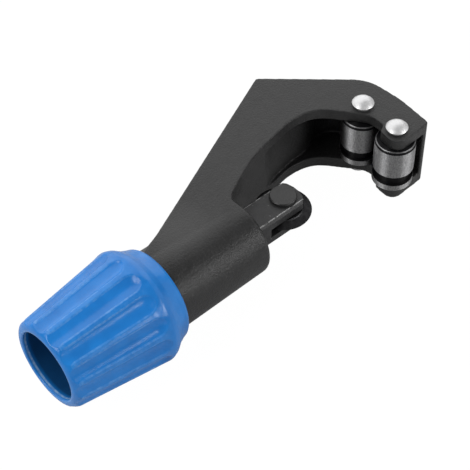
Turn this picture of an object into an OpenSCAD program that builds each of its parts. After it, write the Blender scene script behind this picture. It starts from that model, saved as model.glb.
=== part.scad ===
// Screw-feed tube cutter: die-cast C-frame with two grooved rollers, a sliding
// wheel carriage in the barrel and a fluted hollow knob that turns the feed screw.
// Millimetres. The origin is the centre of the knob's open end, +X runs along the
// feed axis to the rollers, +Y to the frame's spine and +Z along the roller pins.

/* [Knob] */
// Length of the knob along the feed axis
knob_len = 39.6; // [37:0.1:42]
// Outer diameter just inside the rounding of the open end
knob_end_d = 28.6; // [27.5:0.1:30.5]
// Largest outer diameter, at the shoulder
knob_max_d = 36.2; // [35:0.1:38]
// Outer diameter of the thin rim that faces the frame
knob_rim_d = 27.9; // [27.4:0.1:28.6]
// Length of the shoulder and collar in front of the largest diameter
knob_collar_len = 8; // [7:0.1:9]
// Diameter of the open socket in the knob's end
socket_d = 21.8; // [19:0.1:23]
// Depth of the open socket
socket_depth = 14; // [12:0.1:16]
// Diameter of the recess for the nut behind the socket
nut_recess_d = 15; // [13.5:0.1:17]
// Depth of the recess for the nut
nut_recess_depth = 7.5; // [7:0.1:9]
// Thickness of the knob's hub between nut and barrel
hub_t = 6.5; // [5:0.1:8]
// Number of flutes round the knob
flute_count = 15; // [12:1:16]

/* [Barrel] */
// Diameter of the barrel at its mouth
barrel_d = 24.5; // [23.5:0.1:25]
// Diameter of the barrel where it enters the knob
barrel_rear_d = 25.3; // [25:0.1:25.8]
// Distance from the knob's open end to the barrel's mouth
mouth_x = 72.8; // [70:0.2:76]
// Thickness of the wall that carries the feed screw's bush
bulkhead_t = 7; // [5:0.1:9]
// Rounding of the barrel's mouth
mouth_round = 1.6; // [0.8:0.1:2.5]
// Radial gap between barrel and knob
knob_gap = 0.35; // [0.2:0.05:0.5]

/* [Jaw] */
// Thickness of the frame over its two cheeks
frame_t = 24.5; // [24:0.1:26]
// Thickness of one cheek
cheek_t = 3.8; // [3.4:0.1:4.6]
// Distance from the barrel's mouth to the roller pins
jaw_reach = 55.7; // [52:0.1:62]
// Height of the outer corner above the feed axis
peak_h = 38.3; // [35:0.1:42]
// Distance of the outer corner behind the roller pins
peak_back = 16.4; // [14:0.2:20]
// Distance of the tip in front of the roller pins
tip_out = 10.6; // [9.8:0.1:12]
// Height of the throat above the feed axis
throat_h = 17; // [15.5:0.1:18.5]
// Thickness of the web between the cheeks at the tip
web_t = 2; // [1.6:0.1:2.6]

/* [Rollers] */
// Diameter of a roller
roller_d = 12.8; // [11:0.1:13.4]
// Distance between the two roller pins
roller_pitch = 14.5; // [14:0.1:16]
// Gap between a roller's end and a cheek
roller_end_gap = 0.15; // [0.05:0.05:0.4]
// Width of the flare groove in a roller
groove_w = 3.6; // [2:0.1:4]
// Depth of the flare groove
groove_depth = 1.2; // [0.6:0.1:1.8]
// Width of the land below the flare groove
groove_land = 2.1; // [1.5:0.1:4]
// Diameter of a roller pin
roller_pin_d = 5; // [4:0.1:6]
// Diameter of a riveted pin head
rivet_head_d = 6.9; // [6.6:0.1:8]
// Height of a riveted pin head
rivet_head_h = 2.7; // [1.8:0.1:3.2]

/* [Carriage] */
// Width of the wheel carriage across the feed axis
carriage_w = 10.5; // [10.2:0.1:11.5]
// Thickness of the wheel carriage along the wheel pin
carriage_t = 9.7; // [9.5:0.1:10.5]
// Length of the wheel carriage
carriage_len = 50.8; // [49:0.2:52]
// Gap between carriage and barrel on each side
slide_gap = 0.15; // [0.1:0.05:0.3]
// Chamfer of the carriage's long edges
carriage_edge = 0.8; // [0.4:0.1:1.2]
// Distance from the barrel's mouth to the wheel pin at rest
wheel_out = 15.5; // [14.9:0.1:16.5]
// Distance from the wheel pin to the carriage's nose
nose_out = 5.3; // [4.8:0.1:7]
// Travel of the carriage from rest towards the rollers
feed_travel = 26; // [20:0.5:26]
// Travel of the carriage from rest into the barrel
back_travel = 2.5; // [1:0.1:2.6]

/* [Wheel] */
// Diameter of the cutter wheel
wheel_d = 17.6; // [16:0.1:18]
// Width of the wheel's hub
wheel_w = 3; // [2.4:0.1:3.6]
// Diameter of the wheel's hub, where its bevels begin
wheel_hub_d = 12.2; // [10:0.1:14]
// Gap between the wheel and each ear of the carriage
wheel_side_gap = 0.2; // [0.1:0.05:0.4]
// Diameter of the wheel pin
wheel_pin_d = 5; // [4:0.1:5.6]
// Diameter of the wheel pin's head
pin_head_d = 8.3; // [7.6:0.1:9]
// Height of the wheel pin's head
pin_head_h = 1.2; // [0.8:0.1:1.8]
// Thickness of the wheel pin's clip
clip_t = 0.6; // [0.4:0.1:0.8]

/* [Feed screw] */
// Outer diameter of the feed thread
thread_d = 6; // [5:0.1:6.4]
// Diameter of the journal in the bush
journal_d = 7; // [6.6:0.1:7.4]
// Diameter of the thrust collar
collar_d = 9.6; // [8.8:0.1:9.6]
// Thickness of the thrust collar
collar_t = 2; // [1.5:0.1:2.5]
// Width across the two flats that drive the knob
flats_w = 4.8; // [4:0.1:5]
// Outer diameter of the bush
bush_d = 10; // [9:0.1:12]
// Thickness of the thrust washer
thrust_washer_t = 1; // [0.8:0.1:1.2]
// Diameter of the washer between knob and barrel
knob_washer_d = 16; // [13:0.5:20]
// Thickness of the washer between knob and barrel
knob_washer_t = 1; // [0.8:0.1:1.5]
// Running gap on each side of the bulkhead
end_float = 0.1; // [0.05:0.05:0.2]
// Width of the nut across its flats
nut_w = 10; // [9:0.1:11]
// Thickness of the nut
nut_t = 5; // [4:0.1:5.2]
// Thickness of the split lock washer
lock_washer_t = 1.6; // [1.2:0.1:1.6]
// Outer diameter of the split lock washer
lock_washer_d = 11; // [10:0.1:12]

/* [Hidden] */

// Smoothness of true circles and number of steps in an outline's arc
$fn = 96;
arc_steps = 8;
// Radial clearance of a shaft in its hole, and overrun of a cut
fit = 0.05;
over = 1;

// Places along the feed axis, from the knob's open end forwards
hub_back_x = socket_depth + nut_recess_depth;
hub_front_x = hub_back_x + hub_t;
barrel_back_x = hub_front_x + knob_washer_t + end_float;
bulkhead_front_x = barrel_back_x + bulkhead_t;
collar_x = bulkhead_front_x + end_float + thrust_washer_t;
roller_x = mouth_x + jaw_reach;
wheel_x = mouth_x + wheel_out;
nose_x = wheel_x + nose_out;
tail_x = nose_x - carriage_len;
tip_x = roller_x + tip_out;

// The wheel's slot in the carriage, and the feed screw's far end
slot_w = wheel_w + 2 * wheel_side_gap;
slot_root_gap = 0.6;
slot_root_x = wheel_x - wheel_d / 2 - slot_root_gap;
screw_tip_gap = 0.4;
screw_tip_x = slot_root_x - back_travel - screw_tip_gap;
screw_end_gap = 0.7;
screw_back_x = hub_back_x - lock_washer_t - nut_t - screw_end_gap;

// Knob: the end is rounded towards the socket and outwards, with a narrow flat between
rim_flat = 0.3;
socket_mouth = 0.6;
flat_r = socket_d / 2 + socket_mouth + rim_flat;
end_round = knob_end_d / 2 - flat_r;
end_len = end_round + socket_mouth;
shoulder_x = knob_len - knob_collar_len;
knob_slope = (knob_max_d - knob_end_d) / 2 / (shoulder_x - end_len);
knob_cone_x = end_len - knob_end_d / 2 / knob_slope;
shoulder_round = 2;
cavity_d = barrel_rear_d + 2 * knob_gap;
// Collar outline between shoulder and rim: along its length and down to the rim
collar_shares = [[0.21, 0.15], [0.46, 0.5], [0.71, 0.72], [0.9, 0.84]];
// Flutes: radius, depth at each end and where they stop behind the shoulder
flute_r = 5.6;
flute_depth = 1;
flute_depth_back = 0.76;
flute_end_back = 4.8;
flute_turn = 37.8;

// Jaw: outline corners as shares, each with its rounding
jaw_half_t = frame_t / 2;
pocket_half = jaw_half_t - cheek_t;
blend_gap = 0.5;
blend_x = knob_len + blend_gap;
blend_slope = 0.5;
blend_run = 40;
spine_foot_shares = [0.162, 0.318];
spine_heel_share = 0.26;
spine_fillet = 36;
peak_round = 1.5;
front_shares = [[0.887, 0.379], [1, 0.04], [0.89, -0.308]];
front_rounds = [13, 50, 1.4];
toe_shares = [[-0.39, -0.862], [-0.336, -0.303], [-0.121, -0.221], [-0.121, 0.179]];
toe_rounds = [3.4, 1.8, 1.4, 6];
throat_shares = [[0.215, 0.918], [0.377, 1.012], [0.736, 0.776]];
throat_rounds = [12, 22, 50];
sill_shares = [[0.014, 0.36], [-0.016, 0.253]];
sill_round = 1.2;

// Pocket between the cheeks: where its wall leaves the throat, and how deep it goes
pocket_shares = [
    [0.727, 0.735],
    [0.628, 0.832],
    [0.504, 1.018],
    [0.359, 1.1],
    [0.224, 1.13],
    [0.117, 1.27],
    [0.027, 1.27]
];
pocket_rounds = [0, 30, 20, 30, 14, 7, 7];
pocket_front_shares = [0.62, 0.09];
pocket_draw = 1.3;

// Small sizes of the fasteners and of the wheel
carriage_nose_shares = [[0.62, 0.5], [0.89, 0.33], [1, 0.1]];
wheel_chamfer = 0.3;
wheel_edge_w = 0.1;
roller_chamfer = 0.6;
roller_low_chamfer = 0.15;
rivet_rim_share = 0.38;
rivet_foot_share = 0.84;
pin_chamfer = 0.25;
clip_groove_depth = 0.6;
clip_gap = 0.05;
clip_rim = 1.5;
clip_mouth_share = 0.72;
pin_tail = 0.9;
screw_chamfer = 0.6;
washer_split_w = 0.9;
washer_split_turn = 20;
bush_chamfer = 0.3;

// A unit vector, and the direction of a vector in degrees
function unit(v) = v / norm(v);
function heading(v) = atan2(v.y, v.x);

// The arc that rounds corner q between its neighbours p and s
function corner(p, q, s, r) =
    let(
        u = unit([p.x, p.y] - [q.x, q.y]),
        w = unit([s.x, s.y] - [q.x, q.y]),
        half = acos(u * w) / 2,
        reach = r / tan(half),
        c = [q.x, q.y] + unit(u + w) * r / sin(half),
        a = heading([q.x, q.y] + u * reach - c),
        b = heading([q.x, q.y] + w * reach - c),
        turn = b - a > 180 ? b - a - 360 : b - a < -180 ? b - a + 360 : b - a
    )
    [for (i = [0:arc_steps]) c + r * [cos(a + turn * i / arc_steps), sin(a + turn * i / arc_steps)]];

// A closed outline from corners [x, y, rounding]; a rounding of 0 keeps the corner sharp
function rounded(corners) =
    let(n = len(corners))
    [
        for (i = [0:n - 1])
            let(q = corners[i])
            each q.z == 0
                ? [[q.x, q.y]]
                : corner(corners[(i + n - 1) % n], q, corners[(i + 1) % n], q.z)
    ];

// Radius of the knob's taper at a place along the feed axis
function knob_r(x) = (x - knob_cone_x) * knob_slope;

// Turns a shape drawn along +Z so that it lies along +X
module along_x(x) {
    translate([x, 0, 0])
        rotate([0, 90, 0])
            children();
}

// A ring along the feed axis
module ring_x(x, length, outer_d, inner_d) {
    along_x(x)
        difference() {
            cylinder(d = outer_d, h = length);
            translate([0, 0, -over])
                cylinder(d = inner_d, h = length + 2 * over);
        }
}

// Outline of the frame seen along the roller pins
module jaw_outline() {
    peak_x = roller_x - peak_back;
    heel = [blend_x, spine_heel_share * barrel_d, 0];
    foot = [
        blend_x + spine_foot_shares.x * (mouth_x - blend_x),
        spine_foot_shares.y * barrel_d,
        spine_fillet
    ];
    polygon(rounded(concat(
        [[blend_x, 0, 0], heel, foot, [peak_x, peak_h, peak_round]],
        [
            for (i = [0:len(front_shares) - 1])
                [roller_x + front_shares[i].x * tip_out, front_shares[i].y * peak_h, front_rounds[i]]
        ],
        [
            for (i = [0:len(toe_shares) - 1])
                [
                    roller_x + toe_shares[i].x * roller_d,
                    toe_shares[i].y * roller_pitch,
                    toe_rounds[i]
                ]
        ],
        [
            for (i = [0:len(throat_shares) - 1])
                [
                    roller_x - throat_shares[i].x * jaw_reach,
                    throat_shares[i].y * throat_h,
                    throat_rounds[i]
                ]
        ],
        [
            [mouth_x + sill_shares[0].x * jaw_reach, sill_shares[0].y * throat_h, sill_round],
            [mouth_x + sill_shares[1].x * jaw_reach, sill_shares[1].y * throat_h, 0],
            [mouth_x + sill_shares[1].x * jaw_reach, 0, 0]
        ]
    )));
}

// Space between the cheeks, open to the throat and to the tip's lower side
module jaw_pocket() {
    front_x = tip_x - web_t;
    low_y = -throat_h - roller_d;
    translate([0, 0, -pocket_half])
        linear_extrude(height = 2 * pocket_half)
            polygon(rounded(concat(
                [
                    for (i = [0:len(pocket_shares) - 1])
                        [
                            roller_x - pocket_shares[i].x * jaw_reach,
                            pocket_shares[i].y * throat_h,
                            pocket_rounds[i]
                        ]
                ],
                [
                    [front_x, pocket_front_shares[0] * throat_h, roller_d / 2],
                    [front_x, pocket_front_shares[1] * throat_h, 0],
                    [front_x - pocket_draw, front_shares[2].y * peak_h, 0],
                    [front_x - pocket_draw, low_y, 0],
                    [roller_x - pocket_shares[0].x * jaw_reach, low_y, 0]
                ]
            )));
}

// The barrel, turned about the feed axis, with its mouth rounded
module barrel_body() {
    rear_r = barrel_rear_d / 2;
    front_r = barrel_d / 2;
    along_x(0)
        rotate_extrude()
            polygon(rounded([
                [0, barrel_back_x, 0],
                [rear_r, barrel_back_x, 0],
                [rear_r, blend_x, 0],
                [front_r, mouth_x, mouth_round],
                [0, mouth_x, 0]
            ]));
}

// The flat plate of spine and jaw, blended down to the barrel beside the knob
module jaw_plate() {
    rear_r = barrel_rear_d / 2;
    intersection() {
        translate([0, 0, -jaw_half_t])
            linear_extrude(height = frame_t)
                jaw_outline();
        along_x(blend_x) {
            cylinder(r1 = rear_r, r2 = rear_r + blend_slope * blend_run, h = blend_run);
            translate([0, 0, blend_run])
                cylinder(r = tip_x, h = tip_x);
        }
    }
}

// Die-cast frame: barrel with bulkhead and slideway, spine and forked jaw
module frame_body() {
    slide_w = carriage_w + 2 * slide_gap;
    slide_t = carriage_t + 2 * slide_gap;
    color("#2d2d2e")
        difference() {
            union() {
                barrel_body();
                jaw_plate();
            }
            jaw_pocket();
            translate([bulkhead_front_x, -slide_w / 2, -slide_t / 2])
                cube([mouth_x - bulkhead_front_x + over, slide_w, slide_t]);
            along_x(barrel_back_x - over)
                cylinder(d = bush_d + fit, h = bulkhead_t + 2 * over);
            for (side = [-1, 1])
                translate([roller_x, side * roller_pitch / 2, -frame_t])
                    cylinder(d = roller_pin_d + fit, h = 2 * frame_t);
        }
}

// Plain bush of the feed screw, flush in the bulkhead
module feed_bush() {
    bore_r = journal_d / 2 + fit;
    color("#b58a4a")
        along_x(barrel_back_x)
            rotate_extrude()
                polygon([
                    [bore_r + bush_chamfer, 0],
                    [bush_d / 2, 0],
                    [bush_d / 2, bulkhead_t],
                    [bore_r + bush_chamfer, bulkhead_t],
                    [bore_r, bulkhead_t - bush_chamfer],
                    [bore_r, bush_chamfer]
                ]);
}

// Roller pin with a domed head outside each cheek, widest a little above the cheek
module roller_rivet(side) {
    head_r = rivet_head_d / 2;
    rim_z = rivet_rim_share * rivet_head_h;
    dome_h = rivet_head_h - rim_z;
    dome_r = (head_r * head_r + dome_h * dome_h) / (2 * dome_h);
    color("#d9dadb")
        translate([roller_x, side * roller_pitch / 2, 0]) {
            cylinder(d = roller_pin_d, h = frame_t, center = true);
            for (end = [0, 1])
                mirror([0, 0, end])
                    translate([0, 0, jaw_half_t]) {
                        cylinder(r1 = head_r * rivet_foot_share, r2 = head_r, h = rim_z);
                        intersection() {
                            translate([0, 0, rivet_head_h - dome_r])
                                sphere(r = dome_r);
                            translate([0, 0, rim_z])
                                cylinder(r = head_r, h = dome_h);
                        }
                    }
        }
}

module roller_rivet_inner() {
    roller_rivet(1);
}

module roller_rivet_outer() {
    roller_rivet(-1);
}

// Hardened roller with its flare groove near the lower end
module roller(side) {
    half = pocket_half - roller_end_gap;
    r = roller_d / 2;
    bore_r = roller_pin_d / 2 + fit;
    groove_low = -half + groove_land;
    color("#8b8e90")
        translate([roller_x, side * roller_pitch / 2, 0])
            rotate_extrude()
                polygon([
                    [bore_r, -half],
                    [r - roller_low_chamfer, -half],
                    [r, -half + roller_low_chamfer],
                    [r, groove_low],
                    [r - groove_depth, groove_low],
                    [r - groove_depth, groove_low + groove_w],
                    [r, groove_low + groove_w],
                    [r, half - roller_chamfer],
                    [r - roller_chamfer, half],
                    [bore_r, half]
                ]);
}

module roller_inner() {
    roller(1);
}

module roller_outer() {
    roller(-1);
}

// Outline of the carriage seen along the wheel pin
module carriage_outline() {
    half_w = carriage_w / 2;
    nose = [for (s = carriage_nose_shares) [wheel_x + s.x * nose_out, s.y * carriage_w]];
    polygon(concat(
        [[tail_x, -half_w]],
        [for (p = nose) [p.x, -p.y]],
        [for (i = [len(nose) - 1:-1:0]) nose[i]],
        [[tail_x, half_w]]
    ));
}

// Cross-section of the carriage, with its long edges chamfered
module carriage_section() {
    w = carriage_w / 2;
    t = carriage_t / 2;
    e = carriage_edge;
    polygon([
        [t - e, -w], [t, e - w], [t, w - e], [t - e, w],
        [e - t, w], [-t, w - e], [-t, e - w], [e - t, -w]
    ]);
}

// Sliding carriage: threaded at the tail, forked for the wheel at the nose
module wheel_carriage() {
    color("#333334")
        difference() {
            intersection() {
                translate([0, 0, -carriage_t])
                    linear_extrude(height = 2 * carriage_t)
                        carriage_outline();
                along_x(tail_x - over)
                    linear_extrude(height = carriage_len + 2 * over)
                        carriage_section();
            }
            translate([slot_root_x, -carriage_w, -slot_w / 2])
                cube([nose_x - slot_root_x + over, 2 * carriage_w, slot_w]);
            along_x(tail_x - over)
                cylinder(d = thread_d + 2 * fit, h = slot_root_x - tail_x + 2 * over);
            translate([wheel_x, 0, -carriage_t])
                cylinder(d = wheel_pin_d + 2 * fit, h = 2 * carriage_t);
        }
}

// Wheel pin: flat head above, groove for the clip below
module wheel_pin() {
    t = carriage_t / 2;
    r = wheel_pin_d / 2;
    head_r = pin_head_d / 2;
    groove_top = -t - clip_gap;
    groove_low = groove_top - clip_t - clip_gap;
    tail = groove_low - pin_tail;
    color("#303031")
        translate([wheel_x, 0, 0])
            rotate_extrude()
                polygon([
                    [0, tail],
                    [r - pin_chamfer, tail],
                    [r, tail + pin_chamfer],
                    [r, groove_low],
                    [r - clip_groove_depth, groove_low],
                    [r - clip_groove_depth, groove_top],
                    [r, groove_top],
                    [r, t],
                    [head_r, t],
                    [head_r, t + pin_head_h - pin_chamfer],
                    [head_r - pin_chamfer, t + pin_head_h],
                    [0, t + pin_head_h]
                ]);
}

// Open clip that holds the wheel pin below the carriage
module wheel_pin_clip() {
    inner_r = wheel_pin_d / 2 - clip_groove_depth + fit;
    outer_r = wheel_pin_d / 2 + clip_rim;
    mouth_w = 2 * inner_r * clip_mouth_share;
    color("#9a9c9e")
        translate([wheel_x, 0, -carriage_t / 2 - clip_gap - clip_t])
            difference() {
                cylinder(r = outer_r, h = clip_t);
                translate([0, 0, -over])
                    cylinder(r = inner_r, h = clip_t + 2 * over);
                translate([-2 * outer_r, -mouth_w / 2, -over])
                    cube([2 * outer_r, mouth_w, clip_t + 2 * over]);
            }
}

// Cutter wheel with a bevel on each side
module cutter_wheel() {
    bore_r = wheel_pin_d / 2 + fit;
    r = wheel_d / 2;
    hub_r = wheel_hub_d / 2;
    half = wheel_w / 2;
    edge = wheel_edge_w / 2;
    color("#3c3c3e")
        translate([wheel_x, 0, 0])
            rotate_extrude()
                polygon([
                    [bore_r, -half],
                    [hub_r, -half],
                    [hub_r + wheel_chamfer, -half + wheel_chamfer],
                    [r, -edge],
                    [r, edge],
                    [hub_r + wheel_chamfer, half - wheel_chamfer],
                    [hub_r, half],
                    [bore_r, half]
                ]);
}

// Feed screw: nut end, driving flats, journal, thrust collar and feed thread
module feed_screw() {
    r = thread_d / 2;
    journal_r = journal_d / 2;
    color("#a5a7a8")
        difference() {
            along_x(0)
                rotate_extrude()
                    polygon([
                        [0, screw_back_x],
                        [r - screw_chamfer, screw_back_x],
                        [r, screw_back_x + screw_chamfer],
                        [r, hub_front_x],
                        [journal_r, hub_front_x],
                        [journal_r, collar_x],
                        [collar_d / 2, collar_x],
                        [collar_d / 2, collar_x + collar_t],
                        [r, collar_x + collar_t],
                        [r, screw_tip_x - screw_chamfer],
                        [r - screw_chamfer, screw_tip_x],
                        [0, screw_tip_x]
                    ]);
            for (side = [-1, 1])
                translate([hub_back_x, side * (flats_w / 2 + thread_d) - thread_d, -thread_d])
                    cube([hub_t, 2 * thread_d, 2 * thread_d]);
        }
}

// Steel washer between the thrust collar and the bulkhead
module thrust_washer() {
    color("#8f9193")
        ring_x(collar_x - thrust_washer_t, thrust_washer_t, collar_d, journal_d + 2 * fit);
}

// Washer between the knob's hub and the barrel's rear face
module knob_washer() {
    color("#d8d3c4")
        ring_x(hub_front_x, knob_washer_t, knob_washer_d, journal_d + 2 * fit);
}

// Outer outline of the knob, closed on the feed axis
module knob_profile() {
    max_r = knob_max_d / 2;
    rim_r = knob_rim_d / 2;
    polygon(rounded(concat(
        [[0, 0, 0], [flat_r, 0, 0]],
        [
            for (i = [1:arc_steps])
                let(a = 90 * i / arc_steps)
                [flat_r + end_round * sin(a), end_len * (1 - cos(a)), 0]
        ],
        [[max_r, shoulder_x, shoulder_round]],
        [
            for (s = collar_shares)
                [max_r + (rim_r - max_r) * s.y, shoulder_x + knob_collar_len * s.x, 0]
        ],
        [[rim_r, knob_len, 0], [0, knob_len, 0]]
    )));
}

// One flute: a round groove that deepens slowly towards the shoulder and ends in a ball
module flute_cutter() {
    front_x = shoulder_x - flute_end_back;
    rise = knob_slope - (flute_depth - flute_depth_back) / (front_x - end_len);
    tilt = atan(rise);
    length = (front_x + over) / cos(tilt);
    translate([front_x, 0, knob_r(front_x) - flute_depth + flute_r])
        rotate([0, -tilt, 0])
            rotate([0, 90, 0]) {
                translate([0, 0, -length])
                    cylinder(r = flute_r, h = length);
                sphere(r = flute_r);
            }
}

// The open socket in the knob's end, with its mouth rounded
module knob_socket() {
    r = socket_d / 2;
    along_x(0)
        rotate_extrude()
            polygon(concat(
                [[0, socket_depth], [0, -over], [r + socket_mouth, -over]],
                [
                    for (i = [0:arc_steps])
                        let(a = 90 * i / arc_steps)
                        [r + socket_mouth * (1 - sin(a)), socket_mouth * (1 - cos(a))]
                ],
                [[r, socket_depth]]
            ));
}

// Hollow fluted knob with its hub, socket and cavity over the barrel
module knob() {
    color("#2f78bd")
        difference() {
            along_x(0)
                rotate_extrude()
                    knob_profile();
            for (i = [0:flute_count - 1])
                rotate([flute_turn + 360 * i / flute_count, 0, 0])
                    flute_cutter();
            knob_socket();
            along_x(0)
                cylinder(d = nut_recess_d, h = hub_back_x);
            along_x(hub_front_x)
                cylinder(d = cavity_d, h = knob_len);
            intersection() {
                along_x(0)
                    cylinder(d = thread_d + 2 * fit, h = knob_len);
                translate([0, -flats_w / 2 - fit, -thread_d])
                    cube([knob_len, flats_w + 2 * fit, 2 * thread_d]);
            }
        }
}

// Split lock washer under the nut
module lock_washer() {
    color("#8c8e90")
        difference() {
            ring_x(hub_back_x - lock_washer_t, lock_washer_t, lock_washer_d, thread_d + 4 * fit);
            translate([hub_back_x - lock_washer_t / 2, lock_washer_d / 2, 0])
                rotate([0, 0, washer_split_turn])
                    cube([4 * lock_washer_t, lock_washer_d, washer_split_w], center = true);
        }
}

// Hexagon nut that clamps the knob on the feed screw
module knob_nut() {
    corner_d = nut_w / cos(30);
    face_d = nut_w;
    color("#b3b5b6")
        along_x(hub_back_x - lock_washer_t - nut_t)
            difference() {
                intersection() {
                    cylinder(d = corner_d, h = nut_t, $fn = 6);
                    cylinder(d1 = face_d, d2 = face_d + 4 * nut_t, h = nut_t);
                    cylinder(d1 = face_d + 4 * nut_t, d2 = face_d, h = nut_t);
                }
                translate([0, 0, -over])
                    cylinder(d = thread_d + 2 * fit, h = nut_t + 2 * over);
            }
}

frame_body();
feed_bush();
roller_rivet_inner();
roller_rivet_outer();
roller_inner();
roller_outer();
wheel_carriage();
wheel_pin();
wheel_pin_clip();
cutter_wheel();
feed_screw();
thrust_washer();
knob_washer();
knob();
lock_washer();
knob_nut();
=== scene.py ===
"""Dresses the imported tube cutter: soft cast edges, surface finishes, studio light and camera."""
import math

import bpy
from mathutils import Matrix, Vector


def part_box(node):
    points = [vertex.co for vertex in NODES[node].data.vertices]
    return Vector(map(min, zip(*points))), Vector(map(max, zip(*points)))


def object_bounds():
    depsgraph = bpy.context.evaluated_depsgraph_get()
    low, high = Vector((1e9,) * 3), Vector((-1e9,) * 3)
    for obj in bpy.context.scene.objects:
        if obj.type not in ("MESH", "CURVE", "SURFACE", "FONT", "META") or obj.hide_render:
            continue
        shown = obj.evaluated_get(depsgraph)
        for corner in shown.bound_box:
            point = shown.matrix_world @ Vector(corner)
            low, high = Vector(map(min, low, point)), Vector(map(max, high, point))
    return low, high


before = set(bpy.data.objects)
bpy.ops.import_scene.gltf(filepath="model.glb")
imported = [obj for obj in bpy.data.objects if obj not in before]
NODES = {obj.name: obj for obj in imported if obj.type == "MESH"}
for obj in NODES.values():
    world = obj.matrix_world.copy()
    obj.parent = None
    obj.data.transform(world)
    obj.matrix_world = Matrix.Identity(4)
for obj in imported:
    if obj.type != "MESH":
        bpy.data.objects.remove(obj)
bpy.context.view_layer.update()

MM = 0.001


def mm(*values):
    """Lengths in millimetres as a tuple in metres."""
    return tuple(value * MM for value in values)


def grey(value):
    """A neutral colour."""
    return (value, value, value)


# Helpers for shader nodes

# Ranges that hold most, or nearly all, of a noise texture's values
TIGHT = (0.35, 0.65)
WIDE = (0.3, 0.7)


class Shader:
    """A material under construction: adds nodes and links them by socket name."""

    def __init__(self, name):
        self.material = bpy.data.materials.new(name)
        self.material.use_nodes = True
        self.tree = self.material.node_tree
        self.tree.nodes.clear()
        self.output = self.add("ShaderNodeOutputMaterial")
        self.coords = self.add("ShaderNodeTexCoord").outputs["Object"]

    def add(self, kind, inputs=None, **settings):
        node = self.tree.nodes.new(kind)
        for key, value in settings.items():
            setattr(node, key, value)
        for key, value in (inputs or {}).items():
            if isinstance(value, bpy.types.NodeSocket):
                self.tree.links.new(value, node.inputs[key])
            else:
                node.inputs[key].default_value = value
        return node

    def stretched(self, scale):
        """Object coordinates scaled along each axis, to draw grain with a direction."""
        node = self.add("ShaderNodeMapping", {"Vector": self.coords, "Scale": scale})
        return node.outputs["Vector"]

    def noise(self, size, detail=2.0, roughness=0.5, vector=None):
        """Noise whose features are about `size` metres across."""
        inputs = {"Vector": vector or self.coords, "Scale": 1 / size}
        inputs.update(Detail=detail, Roughness=roughness)
        return self.add("ShaderNodeTexNoise", inputs).outputs["Fac"]

    def ramp(self, value, low, high, out_low=0.0, out_high=1.0):
        """Maps value from low..high to out_low..out_high, held at the ends."""
        inputs = {"Value": value, "From Min": low, "From Max": high}
        inputs.update({"To Min": out_low, "To Max": out_high})
        return self.add("ShaderNodeMapRange", inputs).outputs["Result"]

    def math(self, operation, a, b=0.0):
        return self.add("ShaderNodeMath", {0: a, 1: b}, operation=operation).outputs[0]

    def product(self, a, b):
        return self.math("MULTIPLY", a, b)

    def hypot(self, a, b):
        squares = self.math("ADD", self.product(a, a), self.product(b, b))
        return self.math("SQRT", squares)

    def mix(self, factor, a, b):
        """Goes from colour a to colour b as the factor goes from 0 to 1."""
        node = self.add("ShaderNodeMix", {"Factor": factor}, data_type="RGBA")
        for socket, value in (("A", a), ("B", b)):
            target = [s for s in node.inputs if s.name == socket and s.type == "RGBA"][0]
            if isinstance(value, bpy.types.NodeSocket):
                self.tree.links.new(value, target)
            else:
                target.default_value = (*value, 1.0)
        return [s for s in node.outputs if s.type == "RGBA"][0]

    def bump(self, height, depth, normal=None):
        inputs = {"Height": height, "Distance": depth}
        if normal is not None:
            inputs["Normal"] = normal
        return self.add("ShaderNodeBump", inputs).outputs["Normal"]

    def parts(self, vector):
        """The X, Y and Z outputs of a vector."""
        split = self.add("ShaderNodeSeparateXYZ", {"Vector": vector})
        return [split.outputs[k] for k in "XYZ"]

    def from_axis(self, node):
        """X, Y and Z measured from the upright axis of a round node."""
        low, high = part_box(node)
        axis = Vector(((low[0] + high[0]) / 2, (low[1] + high[1]) / 2, 0))
        inputs = {0: self.coords, 1: axis}
        shifted = self.add("ShaderNodeVectorMath", inputs, operation="SUBTRACT")
        return self.parts(shifted.outputs["Vector"])

    def band(self, value, low, high, soft):
        """1 between low and high, 0 outside, with soft borders."""
        rise = self.ramp(value, low - soft, low)
        return self.product(rise, self.ramp(value, high + soft, high))

    def near(self, point, radius):
        """1 at a point given in millimetres, falling to 0 at a radius in millimetres."""
        inputs = {0: self.coords, 1: mm(*point)}
        node = self.add("ShaderNodeVectorMath", inputs, operation="DISTANCE")
        return self.ramp(node.outputs["Value"], radius * MM, 0.0)

    def surface(self, **inputs):
        """Ends the material in a Principled BSDF; keys are its sockets with _ for spaces."""
        named = {key.replace("_", " "): value for key, value in inputs.items()}
        bsdf = self.add("ShaderNodeBsdfPrincipled", named)
        self.tree.links.new(bsdf.outputs["BSDF"], self.output.inputs["Surface"])
        return self.material


# Black coat of the casting and of the wheel pin

COAT_GRAIN = 0.34 * MM
COAT_PEBBLE = 0.62 * MM
COAT_MOTTLE = 3.2 * MM
COAT_SPECK = 0.5 * MM
COAT_ROUGHNESS = (0.32, 0.46)
# Shades as multiples of the coat's tone, and the share of each that shows
MOTTLE_LOW = (0.86, 0.86, 0.87)
MOTTLE_HIGH = (1.14, 1.14, 1.15)
PEBBLE_TONE = 0.5
PEBBLE_SHARE = 0.3
PEBBLE_DEPTH = 1.4
SPECK_RANGE = (0.62, 0.74)
SPECK_TONE = 2.4
SPECK_SHARE = 0.35
# Painted sheen at the spine's foot, where the plate curves into the barrel: centre and radius in
# millimetres, share of the sheen tone
SHEEN_TONE = grey(0.06)
SHEEN_PATCHES = (((51, 7, 11.5), 13, 0.5), ((57, 5, 12), 12, 0.25))
# Painted shade in the deep end of the pocket between the cheeks: from, to and soft border along each axis
POCKET_X = mm(120, 125, 9)
POCKET_Y = mm(18.2, 21.5, 0.8)
POCKET_Z = mm(-8.3, 8.3, 0.3)
POCKET_SHADE_TONE = grey(0.001)
POCKET_SHADE_SHARE = 0.35


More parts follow.
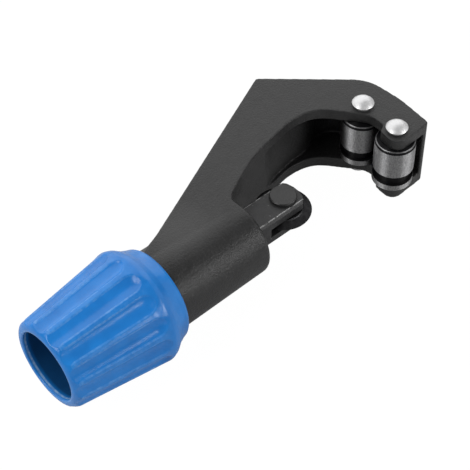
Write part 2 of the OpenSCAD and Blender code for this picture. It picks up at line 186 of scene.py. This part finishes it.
def cast_black(name, tone, grain_depth):
    """Satin black coat: fine grain, specks, faint mottling, a painted sheen at the spine's foot and
    painted shade in the pocket.
    """
    s = Shader(name)
    grain = s.noise(COAT_GRAIN, detail=3.0, roughness=0.6)
    pebbles = s.noise(COAT_PEBBLE)
    mottle = s.noise(COAT_MOTTLE, detail=3.0)
    speck = s.ramp(s.noise(COAT_SPECK), *SPECK_RANGE)
    low = tuple(tone * k for k in MOTTLE_LOW)
    high = tuple(tone * k for k in MOTTLE_HIGH)
    colour = s.mix(s.ramp(mottle, *TIGHT), low, high)
    colour = s.mix(s.ramp(pebbles, *WIDE, 0.0, PEBBLE_SHARE), colour, grey(tone * PEBBLE_TONE))
    colour = s.mix(s.product(speck, SPECK_SHARE), colour, grey(tone * SPECK_TONE))
    # Painted sheen: lighter patches where the plate curves into the barrel
    for place, size, share in SHEEN_PATCHES:
        colour = s.mix(s.product(s.near(place, size), share), colour, SHEEN_TONE)
    # Painted shade darkens the deep end of the pocket between the cheeks
    x, y, z = s.parts(s.coords)
    pocket_shade = s.product(s.band(x, *POCKET_X), s.band(z, *POCKET_Z))
    pocket_shade = s.product(pocket_shade, s.band(y, *POCKET_Y))
    colour = s.mix(s.product(pocket_shade, POCKET_SHADE_SHARE), colour, POCKET_SHADE_TONE)
    fine = s.bump(grain, grain_depth)
    return s.surface(
        Base_Color=colour,
        Roughness=s.ramp(grain, *WIDE, *COAT_ROUGHNESS),
        Normal=s.bump(pebbles, PEBBLE_DEPTH * grain_depth, normal=fine),
    )


# Blue enamel of the knob

# Sizes of the knob that its marks follow
SOCKET_R = 10.9 * MM
END_ROUND = 3.1 * MM
SHOULDER = 31.6 * MM
KNOB_END_R = 14.3 * MM
KNOB_MAX_R = 18.1 * MM
KNOB_BLUES = ((0.01, 0.2, 0.64), (0.014, 0.25, 0.76))
KNOB_ROUGHNESS = (0.18, 0.27)
KNOB_CLOUD = 6 * MM
KNOB_GRAIN = 0.3 * MM
KNOB_GRAIN_SHARE = 0.35
KNOB_PEEL = 1.1 * MM
KNOB_DEPTH = 0.035 * MM
# Painted highlight: lighter blue along the ridges (depth below the taper: from, to, soft border), fading
# out towards the shoulder, and on the rim round the socket (radius, and distance from the end)
RIDGE_HIGHLIGHT_BLUE = (0.16, 0.42, 0.86)
HIGHLIGHT_BREAKUP_SIZE = 1.3 * MM
HIGHLIGHT_BREAKUP_RANGE = (0.38, 0.62)
RIDGE_HIGHLIGHT_SHARES = (0.12, 0.55)
RIDGE = mm(0.05, 0.28, 0.06)
RIDGE_FADE = mm(1, 6)
RIM_FROM, RIM_TO, RIM_SOFT = mm(0.35, 0.75, 0.1)
RIM_FADE = mm(0.6, 0.2)
# The socket: how far outside its wall the painted shade inside it ends, where it begins, and the lip's
# painted highlight
BORE_FADE = mm(0.3, 0.1)
SOCKET_FADE = mm(1.1, 2.5)
SOCKET_SHADE_SHARE = 0.76
SOCKET_SHADE_BLUE = (0.006, 0.014, 0.028)
LIP = mm(0.85, 1.2, 0.25)
LIP_HIGHLIGHT_SHARES = (0.3, 0.7)
LIP_HIGHLIGHT_BLUE = (0.5, 0.75, 1.0)
# Small lumps and knocks: centre and radius in millimetres, and height as a multiple of the
# enamel's own relief
KNOB_FLAWS = (
    ((29.5, -3.9, 17.4), 1.6, 7.0),
    ((31.0, -6.5, 16.6), 1.1, -5.0),
    ((29.6, 10.8, 14.2), 1.3, -6.0),
    ((29.7, 3.4, 17.5), 1.2, -6.0),
    ((17.7, -9.5, 13.3), 0.6, 5.0),
    ((29.2, -11.6, 13.5), 1.0, 6.0),
    ((28.8, -17.6, 1.9), 1.2, -5.0),
)


def blue_knob(name):
    """Semi-gloss blue enamel with painted highlights on the ridges, the rim and the socket's lip, and
    painted shade inside the socket.
    """
    s = Shader(name)
    cloud = s.noise(KNOB_CLOUD)
    grain = s.noise(KNOB_GRAIN, detail=3.0)
    orange_peel = s.noise(KNOB_PEEL)
    colour = s.mix(s.ramp(cloud, *WIDE), *KNOB_BLUES)
    x, y, z = s.parts(s.coords)
    radius = s.hypot(y, z)
    taper = s.ramp(x, END_ROUND, SHOULDER, KNOB_END_R, KNOB_MAX_R)
    below = s.math("SUBTRACT", taper, radius)
    ridge_end = s.ramp(x, *(SHOULDER - fade for fade in RIDGE_FADE))
    edges = s.product(s.band(below, *RIDGE), ridge_end)
    rim_band = s.band(radius, SOCKET_R + RIM_FROM, SOCKET_R + RIM_TO, RIM_SOFT)
    rim_highlight = s.product(rim_band, s.ramp(x, *RIM_FADE))
    highlight_breakup = s.ramp(s.noise(HIGHLIGHT_BREAKUP_SIZE, roughness=0.6), *HIGHLIGHT_BREAKUP_RANGE)
    # Painted highlight on the ridges and the rim round the socket, broken up by noise
    bright_marks = s.product(s.math("MAXIMUM", edges, rim_highlight), s.ramp(highlight_breakup, 0.0, 1.0, *RIDGE_HIGHLIGHT_SHARES))
    colour = s.mix(bright_marks, colour, RIDGE_HIGHLIGHT_BLUE)
    bore = s.ramp(radius, *(SOCKET_R + fade for fade in BORE_FADE))
    # Painted shade inside the socket, deepening away from the mouth
    socket_shade = s.product(bore, s.ramp(x, *SOCKET_FADE, 0.0, SOCKET_SHADE_SHARE))
    colour = s.mix(socket_shade, colour, SOCKET_SHADE_BLUE)
    # Painted highlight: a bright line round the inside of the socket's mouth
    lip_highlight = s.product(s.band(x, *LIP), bore)
    colour = s.mix(s.product(lip_highlight, s.ramp(highlight_breakup, 0.0, 1.0, *LIP_HIGHLIGHT_SHARES)), colour, LIP_HIGHLIGHT_BLUE)
    height = s.math("ADD", s.product(grain, KNOB_GRAIN_SHARE), orange_peel)
    for place, size, rise in KNOB_FLAWS:
        height = s.math("ADD", height, s.product(s.near(place, size), rise))
    return s.surface(
        Base_Color=colour,
        Roughness=s.ramp(grain, *WIDE, *KNOB_ROUGHNESS),
        Normal=s.bump(height, KNOB_DEPTH),
    )


# Ground steel of the rollers

ROLLER_STEELS = ((0.24, 0.24, 0.245), (0.54, 0.54, 0.545))
ROLLER_DARK_AND_SHADE = (0.004, 0.004, 0.005)
ROLLER_ROUGHNESS = (0.5, 0.58)
ROLLER_STREAK = 0.35 * MM
STREAK_STRETCH = (1.0, 1.0, 0.45)
ROLLER_GRAIN = 0.22 * MM
ROLLER_GRAIN_SHARE = 0.5
ROLLER_DEPTH = 0.012 * MM
WEAR_SHARES = (0.6, 0.4)
# Dark parts: the groove below the roller's surface, away from its ends, and painted shade on the upper
# chamfer and face
GROOVE_FADE = mm(0.04, 0.12)
END_FADE = mm(0.9, 1.3)
CHAMFER_BELOW = mm(1.15, 0.4)
CHAMFER_SOFT = 0.06 * MM
FACE_FADE = mm(0.16, 0.1)
# How specular the bare steel and the dark parts are
ROLLER_SPECULAR = (0.5, 0.2)


def ground_roller(name, node):
    """Ground steel with grain round the roller, a dark groove, and painted shade on the upper chamfer and
    end face.
    """
    s = Shader(name)
    low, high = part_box(node)
    radius = (high[0] - low[0]) / 2
    top = high[2]
    x, y, z = s.from_axis(node)
    in_groove = s.ramp(s.hypot(x, y), *(radius - fade for fade in GROOVE_FADE))
    off_end = s.ramp(s.math("ABSOLUTE", z), *(top - fade for fade in END_FADE))
    groove = s.product(in_groove, off_end)
    # Painted shade on the upper chamfer and the end face, under the cheek
    chamfer_shade = s.band(z, *(top - edge for edge in CHAMFER_BELOW), CHAMFER_SOFT)
    end_face_shade = s.ramp(z, *(top - fade for fade in FACE_FADE))
    black = s.math("MAXIMUM", groove, s.math("MAXIMUM", chamfer_shade, end_face_shade))
    streaks = s.noise(ROLLER_STREAK, detail=3.0, vector=s.stretched(STREAK_STRETCH))
    grain = s.noise(ROLLER_GRAIN)
    streak_share, grain_share = WEAR_SHARES
    wear = s.math("ADD", s.product(streaks, streak_share), s.product(grain, grain_share))
    steel = s.mix(s.ramp(wear, *TIGHT), *ROLLER_STEELS)
    tangent = s.add("ShaderNodeTangent", direction_type="RADIAL", axis="Z").outputs["Tangent"]
    relief = s.math("ADD", streaks, s.product(grain, ROLLER_GRAIN_SHARE))
    return s.surface(
        Base_Color=s.mix(black, steel, ROLLER_DARK_AND_SHADE),
        Metallic=s.ramp(black, 0.0, 1.0, 1.0, 0.0),
        Specular_IOR_Level=s.ramp(black, 0.0, 1.0, *ROLLER_SPECULAR),
        Roughness=s.ramp(streaks, *WIDE, *ROLLER_ROUGHNESS),
        Anisotropic=0.95,
        Anisotropic_Rotation=0.25,
        Tangent=tangent,
        Normal=s.bump(relief, ROLLER_DEPTH),
    )


# Rivets, wheel, carriage, bush and the steel parts inside

RIVET_NICKELS = ((0.78, 0.78, 0.785), (0.85, 0.85, 0.855))
RIVET_MARKS = 0.5 * MM
RIVET_ROUGHNESS = (0.42, 0.48)
RIVET_DEPTH = 0.006 * MM


def bright_rivet(name):
    """Nickel-plated rivet heads with faint tumbling marks under a clear gloss."""
    s = Shader(name)
    marks = s.noise(RIVET_MARKS, detail=3.0)
    return s.surface(
        Base_Color=s.mix(s.ramp(marks, *TIGHT), *RIVET_NICKELS),
        Metallic=0.6,
        Roughness=s.ramp(marks, *WIDE, *RIVET_ROUGHNESS),
        Coat_Weight=0.6,
        Coat_Roughness=0.08,
        Normal=s.bump(marks, RIVET_DEPTH),
    )


STEELS = (grey(0.45), grey(0.62))
STEEL_GRAIN = 0.4 * MM
STEEL_ROUGHNESS = (0.3, 0.42)
STEEL_DEPTH = 0.012 * MM


def plain_steel(name):
    """Turned or stamped steel that is mostly hidden."""
    s = Shader(name)
    grain = s.noise(STEEL_GRAIN, detail=3.0)
    return s.surface(
        Base_Color=s.mix(s.ramp(grain, *WIDE), *STEELS),
        Metallic=1.0,
        Roughness=s.ramp(grain, *WIDE, *STEEL_ROUGHNESS),
        Normal=s.bump(grain, STEEL_DEPTH),
    )


WHEEL_STEELS = ((0.034, 0.034, 0.036), (0.062, 0.062, 0.064))
WHEEL_RINGS = 0.12 * MM
WHEEL_CLOUD = 1.5 * MM
WHEEL_ROUGHNESS = (0.36, 0.5)
WHEEL_DEPTH = 0.01 * MM


def dark_wheel(name, node):
    """Dark tool steel with rings left by grinding."""
    s = Shader(name)
    x, y, _ = s.from_axis(node)
    from_axis = s.hypot(x, y)
    ring_coords = s.add("ShaderNodeCombineXYZ", {"X": from_axis}).outputs["Vector"]
    rings = s.noise(WHEEL_RINGS, vector=ring_coords)
    cloud = s.noise(WHEEL_CLOUD)
    return s.surface(
        Base_Color=s.mix(s.ramp(cloud, *WIDE), *WHEEL_STEELS),
        Metallic=1.0,
        Roughness=s.ramp(rings, *WIDE, *WHEEL_ROUGHNESS),
        Normal=s.bump(rings, WHEEL_DEPTH),
    )


CARRIAGE_BLACKS = ((0.02, 0.02, 0.021), (0.028, 0.028, 0.029))
CARRIAGE_CLOUD = 2.5 * MM
CARRIAGE_ROUGHNESS = (0.42, 0.58)
CARRIAGE_DEPTH = 0.025 * MM
# Bare metal along the upper chamfers, broken into scuffs, and scattered bright dots
CARRIAGE_EDGE = 0.8 * MM
BARE = grey(0.3)
BARE_METALLIC = 0.7
LINE_FADE = mm(0.26, 0.1)
SCUFF_SIZE = 1.6 * MM
SCUFF_RANGE = (0.4, 0.5)
DOT_SIZE = 0.8 * MM
DOT_RANGE = (0.7, 0.74)
DOT_SHARE = 0.6


def worn_black(name, node):
    """Satin black carriage, rubbed bright in a thin broken line along its upper chamfers."""
    s = Shader(name)
    _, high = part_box(node)
    grain = s.noise(COAT_GRAIN, detail=3.0, roughness=0.6)
    _, y, z = s.parts(s.coords)
    across = s.math("SUBTRACT", s.math("ABSOLUTE", y), high[1] - CARRIAGE_EDGE)
    up = s.math("SUBTRACT", z, high[2])
    line = s.ramp(s.hypot(across, up), *LINE_FADE)
    scuffs = s.ramp(s.noise(SCUFF_SIZE, detail=4.0, roughness=0.7), *SCUFF_RANGE)
    dots = s.ramp(s.noise(DOT_SIZE), *DOT_RANGE)
    bright_marks = s.math("MAXIMUM", s.product(line, scuffs), s.product(dots, DOT_SHARE))
    coat = s.mix(s.ramp(s.noise(CARRIAGE_CLOUD), *TIGHT), *CARRIAGE_BLACKS)
    return s.surface(
        Base_Color=s.mix(bright_marks, coat, BARE),
        Metallic=s.product(bright_marks, BARE_METALLIC),
        Roughness=s.ramp(grain, *WIDE, *CARRIAGE_ROUGHNESS),
        Normal=s.bump(grain, CARRIAGE_DEPTH),
    )


BRONZES = ((0.45, 0.26, 0.1), (0.6, 0.38, 0.17))
BRONZE_GRAIN = 0.5 * MM
BRONZE_ROUGHNESS = (0.35, 0.5)


def bronze(name):
    """Bearing bronze of the bush, which shows from no side."""
    s = Shader(name)
    grain = s.noise(BRONZE_GRAIN, detail=3.0)
    return s.surface(
        Base_Color=s.mix(grain, *BRONZES),
        Metallic=1.0,
        Roughness=s.ramp(grain, *WIDE, *BRONZE_ROUGHNESS),
    )


def paint(material, *nodes):
    for node in nodes:
        mesh = NODES[node].data
        mesh.materials.clear()
        mesh.materials.append(material)


FRAME_TONE, FRAME_DEPTH = 0.018, 0.095 * MM
PIN_TONE, PIN_DEPTH = 0.022, 0.025 * MM
HIDDEN_STEEL = (
    "wheel_pin_clip", "feed_screw", "thrust_washer", "knob_washer", "lock_washer", "knob_nut"
)

paint(cast_black("coat_black", FRAME_TONE, FRAME_DEPTH), "frame_body")
paint(cast_black("pin_black", PIN_TONE, PIN_DEPTH), "wheel_pin")
paint(plain_steel("plated_steel"), *HIDDEN_STEEL)
paint(bright_rivet("rivet_nickel"), "roller_rivet_inner", "roller_rivet_outer")
paint(blue_knob("knob_enamel"), "knob")
paint(ground_roller("roller_inner_steel", "roller_inner"), "roller_inner")
paint(ground_roller("roller_outer_steel", "roller_outer"), "roller_outer")
paint(worn_black("carriage_coat", "wheel_carriage"), "wheel_carriage")
paint(dark_wheel("wheel_steel", "cutter_wheel"), "cutter_wheel")
paint(bronze("bush_bronze"), "feed_bush")


# Edges: the casting and the moulding are remeshed finely and relaxed, the rest stay crisp

# The others keep edges sharper than the crisp angle, in degrees
SOFT_NODES = {
    "frame_body": (0.5 * MM, 0.26 * MM, 9),
    "knob": (0.4 * MM, 0.2 * MM, 2),
}
CRISP_ANGLE = 30


def soften(node, voxel, rounds):
    """Rounds every edge as a casting has it; flat and round faces keep their place."""
    obj = NODES[node]
    remesh = obj.modifiers.new("fine_mesh", "REMESH")
    remesh.mode = "VOXEL"
    remesh.voxel_size = voxel
    remesh.use_smooth_shade = True
    relax = obj.modifiers.new("cast_edges", "SMOOTH")
    relax.factor = 0.5
    relax.iterations = rounds


def shade(node):
    """Smooth shading with sharp edges kept crisp."""
    obj = NODES[node]
    for polygon in obj.data.polygons:
        polygon.use_smooth = True
    bpy.context.view_layer.objects.active = obj
    obj.select_set(True)
    bpy.ops.object.shade_smooth_by_angle(angle=math.radians(CRISP_ANGLE))
    obj.select_set(False)


for name, (quick_voxel, full_voxel, rounds) in SOFT_NODES.items():
    soften(name, full_voxel, rounds)


# Camera, at the photograph's place: angles in radians, and where it aims in metres

PITCH = 0.8430256
TURN = 0.7219003
ROLL = -0.0067529
FOCAL_PX = 1450.0
IMAGE_PX = 470
SENSOR_MM = 36.0
AIM = Vector((0.070586, 0.001588, 0.0))
CAMERA_DISTANCE = 0.428
CLIP_START = 0.01


def make_camera():
    right = Vector((math.cos(TURN), -math.sin(TURN), 0))
    level = Vector((math.sin(TURN), math.cos(TURN), 0))
    up_axis = Vector((0, 0, 1))
    forward = math.cos(PITCH) * level - math.sin(PITCH) * up_axis
    up = math.sin(PITCH) * level + math.cos(PITCH) * up_axis
    rolled_right = math.cos(ROLL) * right + math.sin(ROLL) * up
    rolled_up = math.cos(ROLL) * up - math.sin(ROLL) * right
    data = bpy.data.cameras.new("camera")
    data.sensor_width = SENSOR_MM
    data.lens = FOCAL_PX * SENSOR_MM / IMAGE_PX
    data.clip_start = CLIP_START
    camera = bpy.data.objects.new("camera", data)
    bpy.context.scene.collection.objects.link(camera)
    eye = AIM - CAMERA_DISTANCE * forward
    place = Matrix((rolled_right, rolled_up, -forward)).transposed().to_4x4()
    camera.matrix_world = Matrix.Translation(eye) @ place
    bpy.context.scene.camera = camera


make_camera()


# Studio: a broad soft light behind, a strip and a fill in front, a small one at the left,
# an even dim world and a pale floor

# Name, direction from the tool, distance, length and width in metres, and power in watts
LIGHTS = (
    ("left_softbox", (-0.75, 0.12, 0.55), 0.8, 0.4, 0.4, 2.5),
    ("right_fill", (0.8, -0.5, 0.35), 1.0, 0.9, 0.7, 0.9),
)
# The same for lights beside the feed axis, whose direction is an angle from +Z towards -Y
# and a lean towards the jaw
AXIS_LIGHTS = (
    ("back_softbox", (-50, 0.3), 0.9, 2.4, 1.46, 11.5),
    ("front_strip", (66, 0.44), 0.7, 0.5, 0.17, 1.6),
)
WORLD_LIGHT = 0.2
WHITE = (1.0, 1.0, 1.0, 1.0)
FLOOR_HALF = 3.0
FLOOR_GAP = 0.05 * MM
FLOOR_PALE = (0.6, 0.6, 0.6, 1.0)
FLOOR_GLOW = 1.06
# Share of the plain white that the camera and glass see, and the share of that for gloss
FLOOR_WHITE_SHARE = 0.93
FLOOR_GLOSSY_SHARE = 0.12


def area_light(name, direction, distance, size_along, size_across, power):
    """An area light aimed at the tool from a direction, its long side level with the feed axis."""
    data = bpy.data.lights.new(name, "AREA")
    data.shape = "RECTANGLE"
    data.size = size_along
    data.size_y = size_across
    data.energy = power
    lamp = bpy.data.objects.new(name, data)
    bpy.context.scene.collection.objects.link(lamp)
    away = Vector(direction).normalized()
    along = Vector((1, 0, 0))
    along = (along - along.dot(away) * away).normalized()
    across = away.cross(along)
    turn = Matrix((along, across, away)).transposed().to_4x4()
    lamp.matrix_world = Matrix.Translation(AIM + distance * away) @ turn


def around(angle, lean):
    """A direction given by its angle from +Z towards -Y and its lean towards the jaw."""
    a = math.radians(angle)
    return (lean, -math.sin(a), math.cos(a))


def make_world():
    world = bpy.data.worlds.new("studio")
    world.use_nodes = True
    background = world.node_tree.nodes["Background"]
    background.inputs["Color"].default_value = WHITE
    background.inputs["Strength"].default_value = WORLD_LIGHT
    bpy.context.scene.world = world


def make_floor():
    """A pale floor under the knob that shows white to the camera and keeps a faint shadow."""
    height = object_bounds()[0][2] - FLOOR_GAP
    mesh = bpy.data.meshes.new("floor")
    half = FLOOR_HALF
    corners = [(-half, -half, height), (half, -half, height), (half, half, height), (-half, half, height)]
    mesh.from_pydata(corners, [], [(0, 1, 2, 3)])
    floor = bpy.data.objects.new("floor", mesh)
    bpy.context.scene.collection.objects.link(floor)
    s = Shader("floor_white")
    rays = s.add("ShaderNodeLightPath").outputs
    seen = s.math("MAXIMUM", rays["Is Camera Ray"], rays["Is Transmission Ray"])
    glossy = s.product(rays["Is Glossy Ray"], FLOOR_GLOSSY_SHARE)
    seen = s.math("MAXIMUM", seen, glossy)
    pale = s.add("ShaderNodeBsdfDiffuse", {"Color": FLOOR_PALE})
    white = s.add("ShaderNodeEmission", {"Color": WHITE, "Strength": FLOOR_GLOW})
    blend = s.add("ShaderNodeMixShader", {0: s.product(seen, FLOOR_WHITE_SHARE)})
    s.tree.links.new(pale.outputs[0], blend.inputs[1])
    s.tree.links.new(white.outputs[0], blend.inputs[2])
    s.tree.links.new(blend.outputs[0], s.output.inputs["Surface"])
    mesh.materials.append(s.material)


for name, (angle, lean), *sizes in AXIS_LIGHTS:
    area_light(name, around(angle, lean), *sizes)
for name, direction, *sizes in LIGHTS:
    area_light(name, direction, *sizes)
make_world()
make_floor()
bpy.context.scene.view_settings.view_transform = "Standard"

for name in NODES:
    if name not in SOFT_NODES:
        shade(name)
